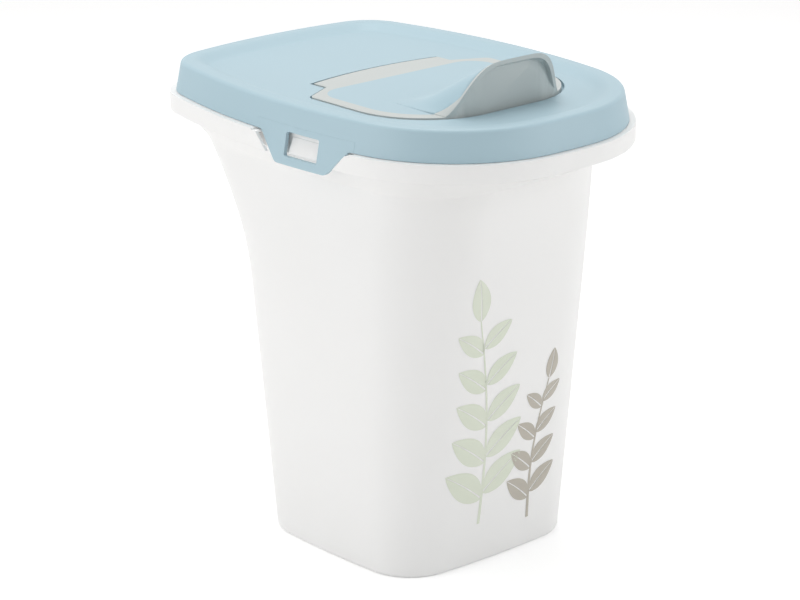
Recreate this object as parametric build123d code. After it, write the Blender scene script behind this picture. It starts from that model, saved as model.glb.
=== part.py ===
from build123d import *
import os
from math import cos, hypot, pi, sin, sqrt

# A food keeper: a frosted tub, a lid that drops over its rim, and a pouring flap in the lid.
# Millimetres. The front, where it pours, faces -Y, the rear flare faces +Y, and +Z is up.
# The origin is on the floor, under the middle of the lid.

# Plan shape of the lid's lower edge: tangent arcs at the ends, the sides and the corners
LID_LENGTH = 303.0
LID_WIDTH = 224.0
END_BOW_RADIUS = 420.0
SIDE_BOW_RADIUS = 476.0
FRONT_CORNER_RADIUS = 94.0
REAR_CORNER_RADIUS = 38.0

# Heights
TUB_HEIGHT = 266.0
SHOULDER_HEIGHT = 17.0
LEDGE_RISE = 11.7
NECK_RISE = 11.3
LID_ROOM = 9.3

# Tub
BASE_WIDTH = 161.0
BASE_FRONT = 87.0
BASE_REAR = 69.0
BASE_CORNER_RADIUS = 35.0
WALL_BOW_RADIUS = 700.0
TUB_TOP_WIDTH = 187.0
TUB_TOP_FRONT = 117.5
TUB_TOP_CORNER_RADIUS = 60.0
REAR_DRAFT = 0.139
FLARE_START_HEIGHT = 180.0
FLARE_REACH = 33.5
FLARE_POWER = 1.8
TUB_STATIONS = 12
WALL = 2.2
FLOOR = 2.8
BASE_EDGE_RADIUS = 3.0
FOOT_WIDTH = 9.0
FOOT_DEPTH = 1.2

# Rim: the neck inside the lid, and the ledge with its turned-down band that carries the lid
NECK_INSET = 5.0
NECK_WALL = 2.0
BAND_OVERHANG = 4.2
BAND_HEIGHT = 12.0
BAND_WALL = 2.0

# Lid
SEAT_GAP = 0.3
SKIRT_WALL = 2.2
SKIRT_TAPER = 3.8
LID_SKIN = 2.2
BEAD_WIDTH = 8.0
BEAD_SLOPE_WIDTH = 13.0
DISH_DEPTH = 4.2
DISH_STEPS = 5
CHANNEL_RELIEF = 0.4
LID_EDGE_RADIUS = 3.2
PLUG_GAP = 0.6
PLUG_WALL = 1.6
PLUG_DEPTH = 15.0

# Flap, its recess and the hatch below it
FLAP_WIDTH = 157.0
TAIL_SET_IN = 24.0
FLAP_FRONT = 95.0
FLAP_SHOULDER = 7.0
SHOULDER_SLANT = 12.0
SHOULDER_RADIUS = 6.0
FLAP_CORNER_RADIUS = 55.0
FLAP_REAR_BOW = 5.7
FLAP_SKIN = 2.1
INLAY = 1.2
FLAP_PROUD = 0.6
FLAP_SIDE_GAP = 1.0
FLAP_FRONT_GAP = 2.5
RECESS_FLOOR = 2.0
RECESS_WALL = 2.0
HATCH_LEDGE = 9.0
FLAP_PLUG_GAP = 0.8
FLAP_PLUG_WALL = 1.6
FLAP_PLUG_DEPTH = 8.0
HINGE_Y = 28.5
HINGE_SLOT = 3.0
BARREL_RADIUS = 3.0
BARREL_CLEARANCE = 1.5
PIN_RADIUS = 1.5
PIN_LENGTH = 5.0
PIN_CLEARANCE = 0.06
SOCKET_END_GAP = 0.5

# Grip lip at the flap's front, with a finger hollow behind its rim
LIP_HEIGHT = 33.0
LIP_SIDE_SPACE = 28.0
LIP_BELL_POWER = 2.5
LIP_LEAN = 0.2
LIP_BULGE = 0.03
LIP_RAMP_LENGTH = 60.0
RAMP_MID_SHARE = 0.42
RAMP_END_SLOPE = 0.45
LIP_END_SHARE = 0.97
LIP_STATIONS = 17
LIP_RIM = 3.0
LIP_SKIN = 2.4
POCKET_SET = 1.0
LIP_WALL = 2.4
CORE_WIDTH_SHARE = 0.62
CORE_LENGTH_SHARE = 0.72
CORE_HEIGHT_SHARE = 0.8
CORE_STATIONS = 5
CORE_ROOF = 3.6

# Inlay in the flap's top
INLAY_BORDER = 9.0
INLAY_REAR_BORDER = 16.5
INLAY_REAR_RADIUS = 18.0
INLAY_LIP_BORDER = 2.2
INLAY_LIP_SHARE = 0.8
INLAY_LIP_POINTS = 9

# Snap loops on the lid's long sides and the catches that they hook under
LOOP_Y = -23.5
LOOP_ROOT_WIDTH = 80.0
LOOP_FOOT_WIDTH = 46.0
LOOP_DROP = 24.3
LOOP_ROOT_RISE = 6.5
LOOP_HEAD = 3.5
LOOP_BAR = 5.3
LOOP_WINDOW_WIDTH = 30.0
LOOP_WINDOW_RADIUS = 1.5
LOOP_CORNER_RADIUS = 5.0
LOOP_ROOT_RADIUS = 4.0
LOOP_WALL = 2.5
LOOP_GAP = 0.35
CATCH_WIDTH = 27.0
CATCH_CLEARANCE = 0.33
CATCH_RISE = 1.5
CATCH_ROOT = 0.5
CATCH_DROP = 10.0
BAND_POCKET_GAP = 1.2

# Worked-out levels
RIM_BASE = TUB_HEIGHT + SHOULDER_HEIGHT
LEDGE_HEIGHT = RIM_BASE + LEDGE_RISE
NECK_HEIGHT = LEDGE_HEIGHT + NECK_RISE
LID_BASE = LEDGE_HEIGHT + SEAT_GAP
LID_TOP = NECK_HEIGHT + LID_ROOM
SKIRT_HEIGHT = LID_TOP - LID_BASE
DISH_LEVEL = LID_TOP - DISH_DEPTH
FLAP_TOP = DISH_LEVEL + FLAP_PROUD
FLAP_BASE = FLAP_TOP - FLAP_SKIN - INLAY
RECESS_LEVEL = FLAP_BASE - SEAT_GAP
HINGE_Z = FLAP_TOP - BARREL_RADIUS
LOOP_TOP = LID_BASE + LOOP_ROOT_RISE
LOOP_BASE = LOOP_TOP - LOOP_DROP
TAIL_HALF = FLAP_WIDTH / 2 - TAIL_SET_IN
LIP_HALF_WIDTH = FLAP_WIDTH / 2 - LIP_SIDE_SPACE
FAR = 400.0
CUT = 1.0


def corner_arc(half_length, half_width, end_r, side_r, corner_r):
    """Centre and tangent points of the arc that joins an end arc to a side arc."""
    end_y = half_length - end_r
    side_x = half_width - side_r
    reach_end = end_r - corner_r
    reach_side = side_r - corner_r
    gap = hypot(side_x, end_y)
    along = (reach_end**2 - reach_side**2 + gap**2) / (2 * gap)
    across = sqrt(max(reach_end**2 - along**2, 0.0))
    ux, uy = side_x / gap, -end_y / gap
    centre = (ux * along - uy * across, end_y + uy * along + ux * across)
    if centre[0] + centre[1] < 0:
        centre = (ux * along + uy * across, end_y + uy * along - ux * across)
    on_end = (centre[0] * end_r / reach_end, end_y + (centre[1] - end_y) * end_r / reach_end)
    on_side = (side_x + (centre[0] - side_x) * side_r / reach_side, centre[1] * side_r / reach_side)
    return centre, on_end, on_side


def arc_outline(half_length, half_width, end_r, side_r, front_r, rear_r, y_shift, z):
    """Face inside eight tangent arcs: two ends, two sides and four corners."""
    rear, rear_end, rear_side = corner_arc(half_length, half_width, end_r, side_r, rear_r)
    front, front_end, front_side = corner_arc(half_length, half_width, end_r, side_r, front_r)

    def middle(centre, radius, start, end):
        mx = (start[0] + end[0]) / 2 - centre[0]
        my = (start[1] + end[1]) / 2 - centre[1]
        scale = radius / hypot(mx, my)
        return (centre[0] + mx * scale, centre[1] + my * scale)

    def put(point, sx=1, sy=1):
        return Vector(sx * point[0], sy * point[1] + y_shift, z)

    rear_mid = middle(rear, rear_r, rear_side, rear_end)
    front_mid = middle(front, front_r, front_side, front_end)
    arcs = [
        (put(rear_side), put(rear_mid), put(rear_end)),
        (put(rear_end), put((0, half_length)), put(rear_end, -1)),
        (put(rear_end, -1), put(rear_mid, -1), put(rear_side, -1)),
        (put(rear_side, -1), put((half_width, 0), -1), put(front_side, -1, -1)),
        (put(front_side, -1, -1), put(front_mid, -1, -1), put(front_end, -1, -1)),
        (put(front_end, -1, -1), put((0, half_length), 1, -1), put(front_end, 1, -1)),
        (put(front_end, 1, -1), put(front_mid, 1, -1), put(front_side, 1, -1)),
        (put(front_side, 1, -1), put((half_width, 0)), put(rear_side)),
    ]
    return Face(Wire([Edge.make_three_point_arc(*arc) for arc in arcs]))


def lid_outline(grow, z):
    """The lid's plan outline at its lower edge, moved outwards by grow."""
    return arc_outline(LID_LENGTH / 2 + grow, LID_WIDTH / 2 + grow, END_BOW_RADIUS + grow,
                       SIDE_BOW_RADIUS + grow, FRONT_CORNER_RADIUS + grow, REAR_CORNER_RADIUS + grow,
                       0.0, z)


def skirt_grow(z):
    """How far the lid's sloping side stands out from its lower edge at a height."""
    return (LID_BASE - z) * SKIRT_TAPER / SKIRT_HEIGHT


def skirt_block(low, high, inset=0.0):
    """Solid inside the lid's sloping side, between two heights."""
    return loft([lid_outline(skirt_grow(low) - inset, low), lid_outline(skirt_grow(high) - inset, high)])


def straight_block(grow, low, high):
    """Upright solid on the lid's outline, between two heights."""
    return extrude(lid_outline(grow, low), high - low)


def tub_section(z, inset=0.0):
    """Plan section of the tub: drafted walls, with the rear wall flaring out near the top."""
    share = z / TUB_HEIGHT
    flare = max(z - FLARE_START_HEIGHT, 0.0) / (TUB_HEIGHT - FLARE_START_HEIGHT)
    rear = BASE_REAR + REAR_DRAFT * z + FLARE_REACH * flare**FLARE_POWER
    front = BASE_FRONT + (TUB_TOP_FRONT - BASE_FRONT) * share
    width = BASE_WIDTH + (TUB_TOP_WIDTH - BASE_WIDTH) * share
    corner = BASE_CORNER_RADIUS + (TUB_TOP_CORNER_RADIUS - BASE_CORNER_RADIUS) * share - inset
    bow = WALL_BOW_RADIUS - inset
    return arc_outline((rear + front) / 2 - inset, width / 2 - inset, bow, bow, corner, corner,
                       (rear - front) / 2, z)


def tub_heights(low):
    """Heights of the loft's sections, evenly spaced so that its walls don't wave."""
    return [low + (TUB_HEIGHT - low) * i / TUB_STATIONS for i in range(TUB_STATIONS + 1)]


def base_round():
    """Quarter-round edge between the tub's underside and its walls."""
    steps = 4
    sections = []
    for i in range(steps + 1):
        turn = pi / 2 * i / steps
        sections.append(tub_section(BASE_EDGE_RADIUS * (1 - cos(turn)), BASE_EDGE_RADIUS * (1 - sin(turn))))
    return loft(sections)


def loop_profile(grow=0.0):
    """Side view of a snap loop: a bar within the skirt, arms that slant in, and a narrow foot."""
    root = LOOP_ROOT_WIDTH / 2 + grow
    bar = root + LOOP_ROOT_RADIUS
    foot = LOOP_FOOT_WIDTH / 2 + grow
    right = [(bar, LOOP_TOP + grow), (bar, LID_BASE - grow), (root, LID_BASE - grow), (foot, LOOP_BASE - grow)]
    left = [(-y, z) for y, z in reversed(right)]
    shape = Polygon(*right, *left, align=None)
    by_height = sorted(shape.vertices(), key=lambda v: (round(v.Y, 3), abs(v.X)))
    shape = fillet(by_height[2:4], LOOP_ROOT_RADIUS - grow)
    return fillet(shape.vertices().sort_by(Axis.Y)[:2], LOOP_CORNER_RADIUS + grow)


def side_prism(profile, side):
    """A side-view profile carried through the long side at +X or -X."""
    plane = Plane(origin=(0, LOOP_Y, 0), x_dir=(0, 1, 0), z_dir=(1, 0, 0))
    return extrude(plane * profile, FAR, dir=(side, 0, 0))


def make_body():
    """Tub, sloping shoulder, neck, and the ledge and band that carry the lid."""
    tub = loft([tub_section(z) for z in tub_heights(BASE_EDGE_RADIUS)]) + base_round()
    shoulder = loft([tub_section(TUB_HEIGHT), lid_outline(-NECK_INSET, RIM_BASE)])
    neck = straight_block(-NECK_INSET, RIM_BASE, NECK_HEIGHT)
    band_base = LEDGE_HEIGHT - BAND_HEIGHT
    band = straight_block(BAND_OVERHANG, band_base, LEDGE_HEIGHT)
    band -= straight_block(BAND_OVERHANG - BAND_WALL, band_base, LEDGE_HEIGHT - BAND_WALL)
    band += straight_block(-NECK_INSET, band_base, LEDGE_HEIGHT)
    neck_core = straight_block(-NECK_INSET, band_base - BAND_HEIGHT, NECK_HEIGHT)
    for side in (1, -1):
        band -= side_prism(loop_profile(BAND_POCKET_GAP), side) - neck_core
    body = tub + shoulder + neck + band

    inside = loft([tub_section(z, WALL) for z in tub_heights(FLOOR)])
    lift = WALL / 2
    funnel = loft([tub_section(TUB_HEIGHT, WALL), lid_outline(-NECK_INSET - NECK_WALL, RIM_BASE + lift)])
    mouth = straight_block(-NECK_INSET - NECK_WALL, RIM_BASE + lift, NECK_HEIGHT + WALL)
    body = body - inside - funnel - mouth
    foot_section = tub_section(0.0, FOOT_WIDTH)
    body -= extrude(foot_section, FOOT_DEPTH)
    return body + make_catches()


def make_catches():
    """The two wedges on the neck that the snap loops hook under."""
    bar_top = LOOP_BASE + LOOP_BAR
    nose = skirt_grow(bar_top) - LOOP_WALL - CATCH_CLEARANCE
    low = bar_top + CATCH_RISE
    wedge = loft([lid_outline(nose, low), lid_outline(-NECK_INSET + CATCH_ROOT, low + CATCH_DROP)])
    wedge -= straight_block(-NECK_INSET - NECK_WALL / 2, low, low + CATCH_DROP)
    band = Pos(0, LOOP_Y, low) * Box(2 * FAR, CATCH_WIDTH, 4 * CATCH_DROP)
    return wedge & band


def rear_arc(half, rear, z):
    """Bowed rear edge of the flap or of its slot, from right to left."""
    return Edge.make_three_point_arc(Vector(half, rear, z), Vector(0, rear + FLAP_REAR_BOW, z),
                                     Vector(-half, rear, z))


def flap_outline(z, side=0.0, front=0.0, rear=0.0):
    """Flap seen from above, grown at its sides, front and rear: a tail between the ears, slanting
    shoulders, and large round front corners."""
    half = FLAP_WIDTH / 2 + side
    tail = TAIL_HALF + side
    near = -FLAP_FRONT - front
    shoulder = FLAP_SHOULDER + side
    neck = FLAP_SHOULDER + SHOULDER_SLANT + side
    end = HINGE_Y + BARREL_RADIUS + rear
    corners = [(-tail, end), (-tail, neck), (-half, shoulder), (-half, near), (half, near),
               (half, shoulder), (tail, neck), (tail, end)]
    points = [Vector(x, y, z) for x, y in corners]
    edges = [Line(a, b) for a, b in zip(points, points[1:])]
    face = Face(Wire(edges + [rear_arc(tail, end, z)]))
    by_y = face.vertices().sort_by(Axis.Y)
    face = face.fillet_2d(FLAP_CORNER_RADIUS + side, by_y[:2])
    outer = [v for v in face.vertices() if abs(v.Y - shoulder) < SEAT_GAP and abs(v.X) > tail]
    return face.fillet_2d(SHOULDER_RADIUS + side, outer)


def hinge_slot(z):
    """Slot through the lid for the flap's hinge barrel and bowed rear edge."""
    half = TAIL_HALF + FLAP_SIDE_GAP
    front = HINGE_Y - BARREL_RADIUS - BARREL_CLEARANCE
    rear = HINGE_Y + BARREL_RADIUS + HINGE_SLOT
    points = [Vector(-half, rear, z), Vector(-half, front, z), Vector(half, front, z), Vector(half, rear, z)]
    edges = [Line(a, b) for a, b in zip(points, points[1:])]
    return Face(Wire(edges + [rear_arc(half, rear, z)]))


def hatch_outline(grow, z):
    """Hatch opening below the flap, with the flap's own front corners."""
    half = FLAP_WIDTH / 2 - HATCH_LEDGE + grow
    front = -FLAP_FRONT + HATCH_LEDGE - grow
    rear = FLAP_SHOULDER - HATCH_LEDGE / 3 + grow
    shape = Polygon((-half, rear), (-half, front), (half, front), (half, rear), align=None)
    corners = shape.vertices().sort_by(Axis.Y)
    shape = fillet(corners[:2], FLAP_CORNER_RADIUS - HATCH_LEDGE + grow)
    shape = fillet(shape.vertices().sort_by(Axis.Y)[-2:], HATCH_LEDGE + grow)
    return Pos(0, 0, z) * shape


def make_dish():
    """Hollow of the lid's top inside the bead, with a slope that starts and ends level."""
    sections = []
    for i in range(DISH_STEPS + 1):
        share = i / DISH_STEPS
        level = DISH_LEVEL + DISH_DEPTH * (1 - cos(pi * share)) / 2
        sections.append(lid_outline(-SKIRT_TAPER - BEAD_WIDTH - BEAD_SLOPE_WIDTH * (1 - share), level))
    return loft(sections)


def make_lid():
    """Lid with a sloping skirt, a dished top inside a raised bead, and the flap's recess."""
    lid = skirt_block(LID_BASE, LID_TOP)
    lid = fillet(lid.edges().group_by(Axis.Z)[-1], LID_EDGE_RADIUS)
    lid -= make_dish()

    under = DISH_LEVEL - LID_SKIN
    plug_face = -NECK_INSET - NECK_WALL - PLUG_GAP
    hollow = skirt_block(LID_BASE, under, SKIRT_WALL)
    channel = skirt_block(LID_BASE, LID_TOP - LID_SKIN - CHANNEL_RELIEF, SKIRT_WALL)
    channel -= straight_block(plug_face - PLUG_WALL, LID_BASE, LID_TOP)
    lid = lid - hollow - channel
    plug = straight_block(plug_face, LID_TOP - PLUG_DEPTH, LID_TOP - LID_SKIN)
    plug -= straight_block(plug_face - PLUG_WALL, LID_TOP - PLUG_DEPTH, LID_TOP)
    lid += plug

    tray_low = RECESS_LEVEL - RECESS_FLOOR
    tray = flap_outline(tray_low, FLAP_SIDE_GAP + RECESS_WALL, FLAP_FRONT_GAP + RECESS_WALL,
                        HINGE_SLOT + RECESS_WALL)
    lid += extrude(tray, DISH_LEVEL - tray_low) + hinge_bed()
    recess = flap_outline(RECESS_LEVEL, FLAP_SIDE_GAP, FLAP_FRONT_GAP, HINGE_SLOT)
    lid -= extrude(recess, SKIRT_HEIGHT)
    lid -= extrude(hatch_outline(0.0, RECESS_LEVEL - SKIRT_HEIGHT), 2 * SKIRT_HEIGHT)
    lid -= extrude(hinge_slot(RECESS_LEVEL - SKIRT_HEIGHT), 2 * SKIRT_HEIGHT)
    socket = PIN_LENGTH + SOCKET_END_GAP
    lid -= hinge_rod(PIN_RADIUS + PIN_CLEARANCE, TAIL_HALF + socket)

    notch = loop_profile(LOOP_GAP)
    for side in (1, -1):
        lid -= side_prism(notch, side)
    return lid


def hinge_rod(radius, half_length):
    """Round rod on the flap's hinge axis."""
    return Pos(0, HINGE_Y, HINGE_Z) * Rot(0, 90, 0) * Cylinder(radius, 2 * half_length)


def hinge_bed():
    """Thicker bed round the hinge slot, with the ears that hold the hinge pins."""
    half = TAIL_HALF + PIN_LENGTH + SOCKET_END_GAP + RECESS_WALL
    front = HINGE_Y - BARREL_RADIUS - BARREL_CLEARANCE - RECESS_WALL
    rear = HINGE_Y + BARREL_RADIUS + HINGE_SLOT + RECESS_WALL
    low = RECESS_LEVEL - RECESS_FLOOR
    return Pos(0, (front + rear) / 2, (low + DISH_LEVEL) / 2) * Box(2 * half, rear - front, DISH_LEVEL - low)


def bell(x, half_width):
    """Bell curve: 1 at the middle, 0 from half_width outwards, level at both."""
    share = min(abs(x) / half_width, 1.0) ** LIP_BELL_POWER
    return (1 + cos(pi * share)) / 2


def lip_height(x):
    """Height of the grip lip's free edge across the flap."""
    return LIP_HEIGHT * bell(x, LIP_HALF_WIDTH)


def flap_front(x):
    """Y of the flap's front edge, round its front corners."""
    past = max(abs(x) - FLAP_WIDTH / 2 + FLAP_CORNER_RADIUS, 0.0)
    return -FLAP_FRONT + FLAP_CORNER_RADIUS - sqrt(FLAP_CORNER_RADIUS**2 - past**2)


def lip_edge(x):
    """Y of the lip's free edge, which leans forwards as it rises."""
    return flap_front(x) - LIP_LEAN * lip_height(x)


def lip_section(x):
    """Side section of the lip: ramp from behind, free edge, front wall."""
    def at(y, z):
        return Vector(x, y, z)

    height = lip_height(x)
    front = flap_front(x)
    edge = lip_edge(x)
    start = -FLAP_FRONT + LIP_RAMP_LENGTH
    bulge = (front + edge) / 2 + LIP_BULGE * height
    ramp = Spline(at(start, FLAP_TOP), at((start + edge) / 2, FLAP_TOP + RAMP_MID_SHARE * height),
                  at(edge, FLAP_TOP + height),
                  tangents=[(0, -1, 0), (0, -1, RAMP_END_SLOPE * height / LIP_HEIGHT)])
    edges = [
        Line(at(start, FLAP_BASE), at(start, FLAP_TOP)),
        ramp,
        Spline(at(edge, FLAP_TOP + height), at(bulge, FLAP_TOP + height / 2), at(front, FLAP_TOP)),
        Line(at(front, FLAP_TOP), at(front, FLAP_BASE)),
        Line(at(front, FLAP_BASE), at(start, FLAP_BASE)),
    ]
    return Face(Wire(edges))


def make_lip():
    """Solid lip before it is hollowed."""
    reach = LIP_HALF_WIDTH * LIP_END_SHARE
    return loft([lip_section(reach * (2 * i / (LIP_STATIONS - 1) - 1)) for i in range(LIP_STATIONS)])


def make_pocket(lip):
    """Finger hollow in the lip's front: its bell drawn in by the rim, open forwards and below."""
    half = LIP_HALF_WIDTH - LIP_RIM
    low = FLAP_BASE - CUT
    y = -FLAP_FRONT + LIP_RIM
    top = []
    for i in range(LIP_STATIONS):
        x = half * (2 * i / (LIP_STATIONS - 1) - 1)
        top.append(Vector(x, y, FLAP_TOP + (LIP_HEIGHT - LIP_RIM) * bell(x, half)))
    corners = [top[-1], Vector(half, y, low), Vector(-half, y, low), top[0]]
    edges = [Spline(*top)] + [Line(a, b) for a, b in zip(corners, corners[1:])]
    opening = extrude(Face(Wire(edges)), FLAP_FRONT, dir=(0, -1, 0))
    behind = extrude(flap_outline(low - CUT, -POCKET_SET, -POCKET_SET), 2 * LIP_HEIGHT)
    under_skin = Pos(0, 0, -LIP_SKIN) * lip
    return (under_skin & opening) - behind


def make_lip_core():
    """Hollow inside the lip behind its front wall, open below."""
    reach = LIP_HALF_WIDTH * CORE_WIDTH_SHARE
    start = -FLAP_FRONT + LIP_RAMP_LENGTH * CORE_LENGTH_SHARE
    sections = []
    for i in range(CORE_STATIONS):
        x = reach * (2 * i / (CORE_STATIONS - 1) - 1)
        front = flap_front(x) + POCKET_SET + LIP_WALL
        roof = FLAP_TOP + CORE_HEIGHT_SHARE * lip_height(x) - CORE_ROOF
        low = FLAP_BASE - CUT
        corners = [(start, low), (start, FLAP_BASE), (front, roof), (front, low), (start, low)]
        points = [Vector(x, y, z) for y, z in corners]
        sections.append(Face(Wire([Line(a, b) for a, b in zip(points, points[1:])])))
    return loft(sections, ruled=True)


def inlay_prism():
    """Space of the inlay seen from above: an even border, and the lip up to its free edge."""
    half = FLAP_WIDTH / 2 - INLAY_BORDER
    rear = HINGE_Y - INLAY_REAR_BORDER
    front = -FLAP_FRONT + INLAY_BORDER
    corner = FLAP_CORNER_RADIUS - INLAY_BORDER
    plate = Polygon((-half, rear), (-half, front), (half, front), (half, rear), align=None)
    plate = fillet(plate.vertices().sort_by(Axis.Y)[:2], corner)
    plate = fillet(plate.vertices().sort_by(Axis.Y)[-2:], INLAY_REAR_RADIUS)

    reach = LIP_HALF_WIDTH * INLAY_LIP_SHARE
    steps = INLAY_LIP_POINTS - 1
    xs = [reach * (2 * i / steps - 1) for i in range(INLAY_LIP_POINTS)]
    edge = [Vector(x, lip_edge(x) + INLAY_LIP_BORDER, 0) for x in xs]
    past = LIP_HALF_WIDTH - half + corner
    foot = front + corner - sqrt(corner**2 - past**2) + INLAY_LIP_BORDER
    feet = [edge[-1], Vector(LIP_HALF_WIDTH, foot, 0), Vector(-LIP_HALF_WIDTH, foot, 0), edge[0]]
    lip = Face(Wire([Spline(*edge)] + [Line(a, b) for a, b in zip(feet, feet[1:])]))
    space = extrude(plate, LIP_HEIGHT + SKIRT_HEIGHT) + extrude(lip, LIP_HEIGHT + SKIRT_HEIGHT, dir=(0, 0, 1))
    return Pos(0, 0, FLAP_BASE) * space


def make_flap():
    """Flap frame with its hinge barrel and pins, and the inlay that is set into its top."""
    lip = make_lip()
    top = extrude(flap_outline(FLAP_BASE), FLAP_TOP - FLAP_BASE) + lip
    inlay = ((top & inlay_prism()) - Pos(0, 0, -INLAY) * top).solids().sort_by(SortBy.VOLUME)[-1]

    plug_low = FLAP_BASE - FLAP_PLUG_DEPTH
    plug = extrude(hatch_outline(-FLAP_PLUG_GAP, plug_low), FLAP_PLUG_DEPTH)
    plug -= extrude(hatch_outline(-FLAP_PLUG_GAP - FLAP_PLUG_WALL, plug_low), FLAP_PLUG_DEPTH)
    frame = top - make_pocket(lip) - make_lip_core() - inlay
    frame = frame + hinge_rod(BARREL_RADIUS, TAIL_HALF) + hinge_rod(PIN_RADIUS, TAIL_HALF + PIN_LENGTH)
    return (frame + plug).solids().sort_by(SortBy.VOLUME)[-1], inlay


def make_loop(side):
    """Snap loop that carries on the slope of the lid's side, with a window for the catch."""
    shell = skirt_block(LOOP_BASE, LOOP_TOP) - skirt_block(LOOP_BASE, LOOP_TOP, LOOP_WALL)
    window_height = LOOP_DROP - LOOP_BAR - LOOP_HEAD
    window = RectangleRounded(LOOP_WINDOW_WIDTH, window_height, LOOP_WINDOW_RADIUS)
    window = Pos(0, LOOP_BASE + LOOP_BAR + window_height / 2) * window
    return shell & side_prism(loop_profile() - window, side)


def save(shape, name):
    """Write one piece under its own name."""
    export_step(shape, os.path.join("parts", name + ".step"))


os.makedirs("parts", exist_ok=True)
flap_frame, flap_inlay = make_flap()
save(make_body(), "container_body")
save(make_lid(), "lid")
save(flap_frame, "flap_frame")
save(flap_inlay, "flap_inlay")
save(make_loop(-1), "side_loop_left")
save(make_loop(1), "side_loop_right")
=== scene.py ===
import math

import bmesh
import bpy
import numpy as np
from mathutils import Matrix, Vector


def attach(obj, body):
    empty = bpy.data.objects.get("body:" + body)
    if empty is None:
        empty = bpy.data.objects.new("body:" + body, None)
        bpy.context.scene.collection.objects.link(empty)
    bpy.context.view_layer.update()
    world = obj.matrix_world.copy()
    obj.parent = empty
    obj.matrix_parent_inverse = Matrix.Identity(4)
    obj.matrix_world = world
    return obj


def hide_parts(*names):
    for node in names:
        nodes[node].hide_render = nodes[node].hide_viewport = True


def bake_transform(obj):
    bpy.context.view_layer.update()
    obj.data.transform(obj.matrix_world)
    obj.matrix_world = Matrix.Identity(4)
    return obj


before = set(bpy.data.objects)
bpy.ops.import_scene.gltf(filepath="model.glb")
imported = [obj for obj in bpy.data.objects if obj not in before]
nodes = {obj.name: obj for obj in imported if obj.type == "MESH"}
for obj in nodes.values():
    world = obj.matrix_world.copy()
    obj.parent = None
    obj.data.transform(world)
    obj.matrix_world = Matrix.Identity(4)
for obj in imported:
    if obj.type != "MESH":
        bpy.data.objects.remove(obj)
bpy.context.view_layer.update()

# Camera and studio
# The photograph's view: from the front-left, a little above the rim, with a long lens.
# Three soft lamps and a white world light the plastic evenly on a pale floor.
CAMERA_AZIMUTH = math.radians(-42.05)
CAMERA_ELEVATION = math.radians(18.53)
CAMERA_DISTANCE = 2.0
CAMERA_TARGET = Vector((0.0, 0.0, 0.1575))
LENS_MM = 134.05
SENSOR_MM = 36.0
PHOTO_WIDTH = 800
CENTRE_SHIFT_PX = (8.75, 1.76)
WORLD_SEEN = 1.0
WORLD_LIGHT = 0.5
FLOOR_HALF = 6.0
FLOOR_GREY = 0.93
FLOOR_ROUGHNESS = 0.8
FLOOR_SPECULAR = 0.1
FLOOR_GLOW = 0.3
TOP_LAMP_TINT = (1.0, 0.975, 0.96)


def point_at(obj, target):
    """Turn a lamp or camera so that its -Z axis looks at the target, with its Y axis up."""
    look = (target - obj.location).normalized()
    obj.rotation_euler = look.to_track_quat("-Z", "Y").to_euler()


def add_camera():
    """Camera on a sphere round the target, at the azimuth and elevation measured from the photo."""
    data = bpy.data.cameras.new("camera")
    data.lens = LENS_MM
    data.sensor_width = SENSOR_MM
    data.shift_x = -CENTRE_SHIFT_PX[0] / PHOTO_WIDTH
    data.shift_y = CENTRE_SHIFT_PX[1] / PHOTO_WIDTH
    camera = bpy.data.objects.new("camera", data)
    bpy.context.scene.collection.objects.link(camera)
    flat = math.cos(CAMERA_ELEVATION)
    back = Vector((math.sin(CAMERA_AZIMUTH) * flat, -math.cos(CAMERA_AZIMUTH) * flat,
                   math.sin(CAMERA_ELEVATION)))
    camera.location = CAMERA_TARGET + back * CAMERA_DISTANCE
    point_at(camera, CAMERA_TARGET)
    bpy.context.scene.camera = camera


def add_lamp(name, place, size, watts, tint=(1.0, 1.0, 1.0)):
    """Square soft lamp that looks at the middle of the container."""
    data = bpy.data.lights.new(name, "AREA")
    data.shape = "SQUARE"
    data.size = size
    data.energy = watts
    data.color = tint
    lamp = bpy.data.objects.new(name, data)
    bpy.context.scene.collection.objects.link(lamp)
    lamp.location = place
    point_at(lamp, CAMERA_TARGET)


def ray_switch(tree, seen, other):
    """Value that is `seen` for camera, glossy and transmitted rays and `other` for the rest."""
    path = tree.nodes.new("ShaderNodeLightPath")
    glossy = tree.nodes.new("ShaderNodeMath")
    glossy.operation = "MAXIMUM"
    tree.links.new(path.outputs["Is Camera Ray"], glossy.inputs[0])
    tree.links.new(path.outputs["Is Glossy Ray"], glossy.inputs[1])
    either = tree.nodes.new("ShaderNodeMath")
    either.operation = "MAXIMUM"
    tree.links.new(glossy.outputs[0], either.inputs[0])
    tree.links.new(path.outputs["Is Transmission Ray"], either.inputs[1])
    level = tree.nodes.new("ShaderNodeMapRange")
    level.inputs["To Min"].default_value = other
    level.inputs["To Max"].default_value = seen
    tree.links.new(either.outputs[0], level.inputs["Value"])
    return level.outputs["Result"]


def add_world():
    """White surroundings: full white behind the object, softer as a source of light."""
    world = bpy.data.worlds.new("studio")
    bpy.context.scene.world = world
    world.use_nodes = True
    back = world.node_tree.nodes["Background"]
    back.inputs["Color"].default_value = (1.0, 1.0, 1.0, 1.0)
    strength = ray_switch(world.node_tree, WORLD_SEEN, WORLD_LIGHT)
    world.node_tree.links.new(strength, back.inputs["Strength"])


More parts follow.
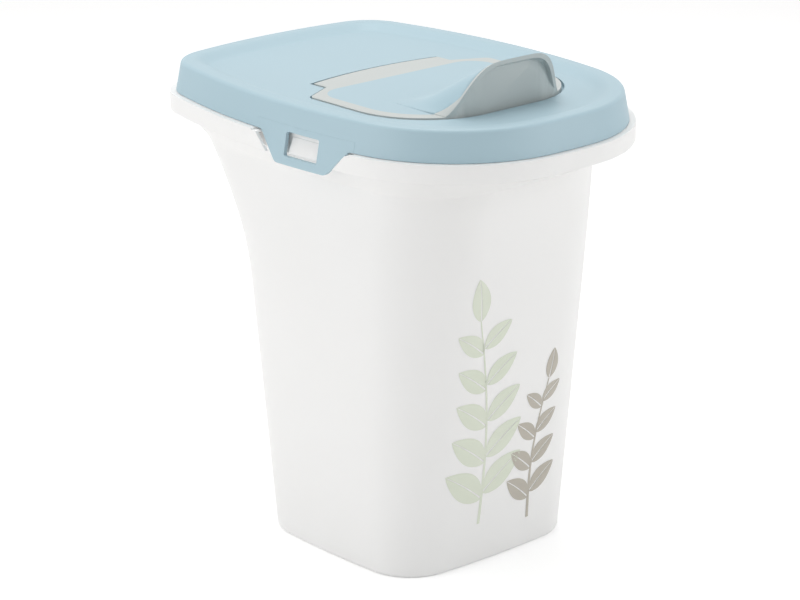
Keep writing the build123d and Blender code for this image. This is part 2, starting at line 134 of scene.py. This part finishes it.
def add_floor():
    """Pale floor that keeps the container's soft shadow and runs to white in the distance."""
    corners = [(-FLOOR_HALF, -FLOOR_HALF, 0), (FLOOR_HALF, -FLOOR_HALF, 0),
               (FLOOR_HALF, FLOOR_HALF, 0), (-FLOOR_HALF, FLOOR_HALF, 0)]
    mesh = bpy.data.meshes.new("floor")
    mesh.from_pydata(corners, [], [(0, 1, 2, 3)])
    floor = bpy.data.objects.new("floor", mesh)
    bpy.context.scene.collection.objects.link(floor)
    paint = bpy.data.materials.new("studio_floor")
    paint.use_nodes = True
    shader = paint.node_tree.nodes["Principled BSDF"]
    shader.inputs["Base Color"].default_value = (FLOOR_GREY, FLOOR_GREY, FLOOR_GREY, 1.0)
    shader.inputs["Roughness"].default_value = FLOOR_ROUGHNESS
    shader.inputs["Specular IOR Level"].default_value = FLOOR_SPECULAR
    shader.inputs["Emission Color"].default_value = (1.0, 1.0, 1.0, 1.0)
    glow = ray_switch(paint.node_tree, FLOOR_GLOW, 0.0)
    paint.node_tree.links.new(glow, shader.inputs["Emission Strength"])
    mesh.materials.append(paint)


add_camera()
add_world()
add_floor()
add_lamp("left_softbox", Vector((-1.6, 0.35, 0.7)), 1.2, 8.6)
add_lamp("right_softbox", Vector((0.9, -1.5, 0.7)), 1.2, 8.8)
add_lamp("top_softbox", Vector((0.1, 0.4, 1.8)), 1.4, 16.0, TOP_LAMP_TINT)
bpy.context.scene.view_settings.view_transform = "Standard"

# Tub
# One moulding of frosted translucent polypropylene, about 2 mm thick, with a sloping
# shoulder and a turned-down rim band. Its edges are slightly round from the mould.
TUB_COLOUR = (0.975, 0.975, 0.968, 1.0)
TUB_CLOUD = (0.962, 0.962, 0.952, 1.0)
TUB_TRANSMISSION = 0.12
POLYPROPYLENE_IOR = 1.49
MOULD_GRAIN_SIZE = 0.0011
GRAIN_DETAIL = 3.0
CLOUD_SCALE = 14.0
CLOUD_DETAIL = 2.0
CLOUD_MIDDLE = 0.5
BASE_ROUGHNESS = 0.4
ROUGHNESS_SPREAD = 0.12
TONE_DARK_AT = 0.3
TONE_LIGHT_AT = 0.7
TUB_ROUGHNESS = 0.42
GRAIN_DEPTH = 0.00002
GRAIN_STRENGTH = 0.35
TUB_EDGE_ROUND = 0.0006
EDGE_SEGMENTS = 2
WELD_REACH = 0.00001
FLAT_ANGLE = math.radians(0.2)
SHARP_ANGLE = math.radians(30)


def grain_group():
    """Node group for moulded polypropylene: a fine grain height and a slowly changing roughness."""
    group = bpy.data.node_groups.new("mould_grain", "ShaderNodeTree")
    face = group.interface
    settings = {"Grain Size": MOULD_GRAIN_SIZE, "Base Roughness": BASE_ROUGHNESS,
                "Roughness Spread": ROUGHNESS_SPREAD}
    for name, value in settings.items():
        face.new_socket(name, in_out="INPUT", socket_type="NodeSocketFloat").default_value = value
    for name in ("Height", "Roughness", "Cloud"):
        face.new_socket(name, in_out="OUTPUT", socket_type="NodeSocketFloat")
    read = group.nodes.new("NodeGroupInput")
    write = group.nodes.new("NodeGroupOutput")
    place = group.nodes.new("ShaderNodeTexCoord")
    scale = group.nodes.new("ShaderNodeMath")
    scale.operation = "DIVIDE"
    scale.inputs[0].default_value = 1.0
    group.links.new(read.outputs["Grain Size"], scale.inputs[1])
    grain = group.nodes.new("ShaderNodeTexNoise")
    grain.inputs["Detail"].default_value = GRAIN_DETAIL
    group.links.new(place.outputs["Object"], grain.inputs["Vector"])
    group.links.new(scale.outputs[0], grain.inputs["Scale"])
    cloud = group.nodes.new("ShaderNodeTexNoise")
    cloud.inputs["Scale"].default_value = CLOUD_SCALE
    cloud.inputs["Detail"].default_value = CLOUD_DETAIL
    group.links.new(place.outputs["Object"], cloud.inputs["Vector"])
    low = group.nodes.new("ShaderNodeMath")
    low.operation = "SUBTRACT"
    low.inputs[1].default_value = CLOUD_MIDDLE
    group.links.new(cloud.outputs["Fac"], low.inputs[0])
    spread = group.nodes.new("ShaderNodeMath")
    spread.operation = "MULTIPLY_ADD"
    group.links.new(low.outputs[0], spread.inputs[0])
    group.links.new(read.outputs["Roughness Spread"], spread.inputs[1])
    group.links.new(read.outputs["Base Roughness"], spread.inputs[2])
    group.links.new(grain.outputs["Fac"], write.inputs["Height"])
    group.links.new(spread.outputs[0], write.inputs["Roughness"])
    group.links.new(cloud.outputs["Fac"], write.inputs["Cloud"])
    return group


GRAIN = grain_group()


def moulded(name, light, dark, roughness):
    """Moulded plastic: two close tones in slow clouds, grained surface, uneven gloss."""
    paint = bpy.data.materials.new(name)
    paint.use_nodes = True
    tree = paint.node_tree
    shader = tree.nodes["Principled BSDF"]
    shader.inputs["IOR"].default_value = POLYPROPYLENE_IOR
    grain = tree.nodes.new("ShaderNodeGroup")
    grain.node_tree = GRAIN
    grain.inputs["Base Roughness"].default_value = roughness
    tone = tree.nodes.new("ShaderNodeValToRGB")
    tone.color_ramp.elements[0].position = TONE_DARK_AT
    tone.color_ramp.elements[0].color = dark
    tone.color_ramp.elements[1].position = TONE_LIGHT_AT
    tone.color_ramp.elements[1].color = light
    bump = tree.nodes.new("ShaderNodeBump")
    bump.inputs["Strength"].default_value = GRAIN_STRENGTH
    bump.inputs["Distance"].default_value = GRAIN_DEPTH
    tree.links.new(grain.outputs["Cloud"], tone.inputs["Fac"])
    tree.links.new(tone.outputs["Color"], shader.inputs["Base Color"])
    tree.links.new(grain.outputs["Roughness"], shader.inputs["Roughness"])
    tree.links.new(grain.outputs["Height"], bump.inputs["Height"])
    tree.links.new(bump.outputs["Normal"], shader.inputs["Normal"])
    return paint


def merged_copy(node, name, paint, sharp=SHARP_ANGLE):
    """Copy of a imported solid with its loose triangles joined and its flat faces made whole."""
    mesh = nodes[node].data.copy()
    mesh.name = name
    shell = bmesh.new()
    shell.from_mesh(mesh)
    bmesh.ops.remove_doubles(shell, verts=shell.verts, dist=WELD_REACH)
    bmesh.ops.dissolve_limit(shell, angle_limit=FLAT_ANGLE, verts=shell.verts, edges=shell.edges)
    shell.to_mesh(mesh)
    shell.free()
    mesh.shade_smooth()
    mesh.set_sharp_from_angle(angle=sharp)
    mesh.materials.clear()
    mesh.materials.append(paint)
    piece = bpy.data.objects.new(name, mesh)
    bpy.context.scene.collection.objects.link(piece)
    return piece


def round_edges(piece, width):
    """Small round on every sharp edge, as a mould leaves it."""
    bevel = piece.modifiers.new("edge_round", "BEVEL")
    bevel.width = width
    bevel.segments = EDGE_SEGMENTS
    bevel.limit_method = "ANGLE"
    bevel.angle_limit = SHARP_ANGLE
    bevel.harden_normals = True


def stand_for(piece, node, body):
    """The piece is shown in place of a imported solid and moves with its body."""
    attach(piece, body)
    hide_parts(node)


frosted = moulded("frosted_polypropylene", TUB_COLOUR, TUB_CLOUD, TUB_ROUGHNESS)
frosted.node_tree.nodes["Principled BSDF"].inputs["Transmission Weight"].default_value = TUB_TRANSMISSION
tub = merged_copy("container_body", "tub", frosted)
round_edges(tub, TUB_EDGE_ROUND)
stand_for(tub, "container_body", "container")

# Leaf print
# A two-colour print on the front wall: a pale green sprig and a shorter taupe one, whose
# leaves are split by a bare vein. The ink is a thin skin that follows the tub's curved wall.
TUB_HEIGHT = 0.266
BASE_FRONT = 0.087
TOP_FRONT = 0.1175
BASE_HALF_WIDTH = 0.0805
TOP_HALF_WIDTH = 0.0935
BASE_REAR = 0.069
REAR_DRAFT = 0.139
BASE_CORNER = 0.035
TOP_CORNER = 0.060
WALL_BOW = 0.700
INK_RELIEF = 0.00012
GREEN_INK = (0.68, 0.73, 0.61, 1.0)
GREEN_INK_CLOUD = (0.72, 0.76, 0.65, 1.0)
TAUPE_INK = (0.47, 0.44, 0.38, 1.0)
TAUPE_INK_CLOUD = (0.52, 0.49, 0.43, 1.0)
INK_ROUGHNESS = 0.5
VEIN_HALF = 0.00055
VEIN_TAPER = 0.6
LEAF_SKEW = 0.85
LEAF_FULLNESS = 0.8
LEAF_BEND = 0.12
LEAF_ROWS = 18
BLADE_COLUMNS = 4
STEM_WIDTH = 0.0024
STEM_TAPER = 0.6
STEM_STEPS = 40
FIRST_PAIR_AT = 0.7
PAIR_MARGIN = 0.6
TIP_SHRINK = 0.42
PAIR_STAGGER = 0.004
SIDE_LEAF_BEND = 0.1
TIP_LEAF_SIZE = 0.72


def wall_point(along, height):
    """Point on the tub's outer wall: `along` is the distance round the wall from the middle of
    the front, over the bowed front arc and then the tangent corner arc of the section there."""
    share = height / TUB_HEIGHT
    front = BASE_FRONT + (TOP_FRONT - BASE_FRONT) * share
    rear = BASE_REAR + REAR_DRAFT * height
    half_length = (front + rear) / 2
    half_width = BASE_HALF_WIDTH + (TOP_HALF_WIDTH - BASE_HALF_WIDTH) * share
    corner = BASE_CORNER + (TOP_CORNER - BASE_CORNER) * share
    reach = WALL_BOW - corner
    gap_x = WALL_BOW - half_width
    gap_y = WALL_BOW - half_length
    gap = np.hypot(gap_x, gap_y)
    across = np.sqrt(reach**2 - gap**2 / 4)
    centre_x = -gap_x / 2 + across * gap_y / gap
    centre_y = gap_y / 2 - across * gap_x / gap
    turn_end = np.arctan2(centre_x, reach * np.cos(np.arcsin(centre_x / reach)))
    side = np.sign(along)
    distance = np.abs(along)
    on_front = distance <= turn_end * WALL_BOW
    turn = np.where(on_front, distance / WALL_BOW, turn_end + (distance - turn_end * WALL_BOW) / corner)
    shift = (rear - front) / 2
    front_x = WALL_BOW * np.sin(turn)
    front_y = shift + gap_y - WALL_BOW * np.cos(turn)
    corner_x = centre_x + corner * np.sin(turn)
    corner_y = shift + gap_y - reach * np.cos(turn_end) - corner * np.cos(turn)
    x = np.where(on_front, front_x, corner_x) + INK_RELIEF * np.sin(turn)
    y = np.where(on_front, front_y, corner_y) - INK_RELIEF * np.cos(turn)
    return np.stack([side * x, y, height], axis=-1)


def leaf_halves(foot, angle, length, half_width, bend=LEAF_BEND):
    """Two blades of one leaf on the flat pattern: half width is a skewed sine along the leaf, the
    midrib bends sideways by a parabola, and a bare vein stays between the blades."""
    u = np.linspace(0.0, 1.0, LEAF_ROWS)[:, None]
    v = np.linspace(0.0, 1.0, BLADE_COLUMNS)[None, :]
    edge = half_width * np.sin(np.pi * u**LEAF_SKEW) ** LEAF_FULLNESS
    vein = np.minimum(VEIN_HALF * (1 - VEIN_TAPER * u), edge)
    blades = []
    for side in (-1.0, 1.0):
        across = side * (vein + (edge - vein) * v) + bend * length * u * (1 - u)
        up = length * u + 0.0 * v
        s = foot[0] + up * math.sin(angle) + across * math.cos(angle)
        z = foot[1] + up * math.cos(angle) - across * math.sin(angle)
        blades.append((s, z))
    return blades


def stem_line(foot, top, sway):
    """Thin tapering stem on the flat pattern that sways sideways by one arch of a sine."""
    u = np.linspace(0.0, 1.0, STEM_STEPS)[:, None]
    v = np.array([-0.5, 0.5])[None, :]
    s = foot[0] + (top[0] - foot[0]) * u + sway * np.sin(np.pi * u) + STEM_WIDTH * (1 - STEM_TAPER * u) * v
    z = foot[1] + (top[1] - foot[1]) * u + 0.0 * v
    return s, z


def printed(name, patches, paint):
    """Mesh of flat-pattern patches laid on the tub's wall, with every grid cell a quad."""
    points = []
    faces = []
    for s, z in patches:
        rows, columns = s.shape
        first = sum(len(p) for p in points)
        grid = first + np.arange(rows * columns).reshape(rows, columns)
        points.append(wall_point(s, z).reshape(-1, 3))
        quads = np.stack([grid[:-1, :-1], grid[:-1, 1:], grid[1:, 1:], grid[1:, :-1]], axis=-1)
        faces.append(quads.reshape(-1, 4))
    mesh = bpy.data.meshes.new(name)
    mesh.from_pydata(np.concatenate(points).tolist(), [], np.concatenate(faces).tolist())
    shell = bmesh.new()
    shell.from_mesh(mesh)
    bmesh.ops.remove_doubles(shell, verts=shell.verts, dist=WELD_REACH)
    bmesh.ops.dissolve_degenerate(shell, edges=shell.edges, dist=WELD_REACH / 2)
    shell.faces.ensure_lookup_table()
    shell.normal_update()
    inward = [f for f in shell.faces if f.normal.dot(f.calc_center_median() - CAMERA_TARGET) < 0]
    bmesh.ops.reverse_faces(shell, faces=inward)
    shell.to_mesh(mesh)
    shell.free()
    mesh.shade_smooth()
    mesh.materials.append(paint)
    piece = bpy.data.objects.new(name, mesh)
    bpy.context.scene.collection.objects.link(piece)
    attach(piece, "container")
    return piece


def sprig(foot, top, sway, pairs, length, half_width, spread):
    """Stem with pairs of leaves that shorten upwards, and one leaf at the tip."""
    patches = [stem_line(foot, top, sway)]
    for i in range(pairs):
        share = (i + FIRST_PAIR_AT) / (pairs + PAIR_MARGIN)
        at = (foot[0] + (top[0] - foot[0]) * share + sway * math.sin(math.pi * share),
              foot[1] + (top[1] - foot[1]) * share)
        size = 1.0 - TIP_SHRINK * share
        for side in (-1.0, 1.0):
            raised = (at[0], at[1] + (PAIR_STAGGER if side > 0 else 0.0))
            patches += leaf_halves(raised, side * spread, length * size, half_width * size,
                                   bend=-SIDE_LEAF_BEND * side)
    lean = math.atan2(top[0] - foot[0] - sway, top[1] - foot[1])
    patches += leaf_halves(top, lean, length * TIP_LEAF_SIZE, half_width * TIP_LEAF_SIZE)
    return patches


green_ink = moulded("pale_green_ink", GREEN_INK, GREEN_INK_CLOUD, INK_ROUGHNESS)
taupe_ink = moulded("taupe_ink", TAUPE_INK, TAUPE_INK_CLOUD, INK_ROUGHNESS)
green_patches = sprig(foot=(-0.020, 0.030), top=(-0.034, 0.178), sway=0.006, pairs=5, length=0.042,
                      half_width=0.0105, spread=0.95)
taupe_patches = sprig(foot=(0.026, 0.022), top=(0.034, 0.122), sway=-0.005, pairs=4, length=0.030,
                      half_width=0.0075, spread=0.9)
printed("green_sprig", green_patches, green_ink)
printed("taupe_sprig", taupe_patches, taupe_ink)

# Lid
# One moulding of pale blue polypropylene with a fine satin grain, which drops over the
# tub's neck and rests on its ledge.
LID_COLOUR = (0.405, 0.553, 0.622, 1.0)
LID_CLOUD = (0.394, 0.542, 0.61, 1.0)
LID_EDGE_ROUND = 0.0004
LID_ROUGHNESS = 0.45
blue = moulded("pale_blue_polypropylene", LID_COLOUR, LID_CLOUD, LID_ROUGHNESS)
lid = merged_copy("lid", "lid_moulding", blue)
round_edges(lid, LID_EDGE_ROUND)
stand_for(lid, "lid", "lid")

# Snap loops
# A windowed loop hangs from each long side of the lid and hooks under the tub's catch. It is
# one moulding with the lid.
LOOP_SEAM = 0.00034
LOOP_MIDDLE_Y = -0.0235
SKIRT_EDGE_Z = 0.295
LOOP_TOP_Z = 0.3015
SKIRT_SLOPE = 3.8 / 20.3
for side, sign in (("left", -1.0), ("right", 1.0)):
    loop = merged_copy("side_loop_" + side, side + "_loop", blue)
    co = np.zeros(len(loop.data.vertices) * 3, np.float32)
    loop.data.vertices.foreach_get("co", co)
    co = co.reshape(-1, 3)
    off = co[:, 1] - LOOP_MIDDLE_Y
    root_end = (co[:, 2] > SKIRT_EDGE_Z - LOOP_SEAM) & (np.abs(off) > np.abs(off).max() - LOOP_SEAM)
    top = co[:, 2] > LOOP_TOP_Z - LOOP_SEAM
    co[:, 1] += np.where(root_end, np.sign(off) * LOOP_SEAM, 0.0)
    co[:, 2] += np.where(top, LOOP_SEAM, 0.0)
    co[:, 0] -= np.where(top, sign * LOOP_SEAM * SKIRT_SLOPE, 0.0)
    loop.data.vertices.foreach_set("co", co.ravel())
    loop.data.update()
    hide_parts("side_loop_" + side)
    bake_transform(loop)

# Pouring flap
# A warm light grey moulding with a curled grip lip, and a pale blue skin set into its top.
FLAP_COLOUR = (0.535, 0.57, 0.56, 1.0)
FLAP_CLOUD = (0.522, 0.557, 0.547, 1.0)
FLAP_EDGE_ROUND = 0.0004
FLAP_ROUGHNESS = 0.45
SKIN_SHARP_ANGLE = math.radians(60)
grey = moulded("light_grey_polypropylene", FLAP_COLOUR, FLAP_CLOUD, FLAP_ROUGHNESS)
flap = merged_copy("flap_frame", "flap_moulding", grey)
round_edges(flap, FLAP_EDGE_ROUND)
stand_for(flap, "flap_frame", "flap")
skin = merged_copy("flap_inlay", "flap_skin", blue, SKIN_SHARP_ANGLE)
stand_for(skin, "flap_inlay", "flap")
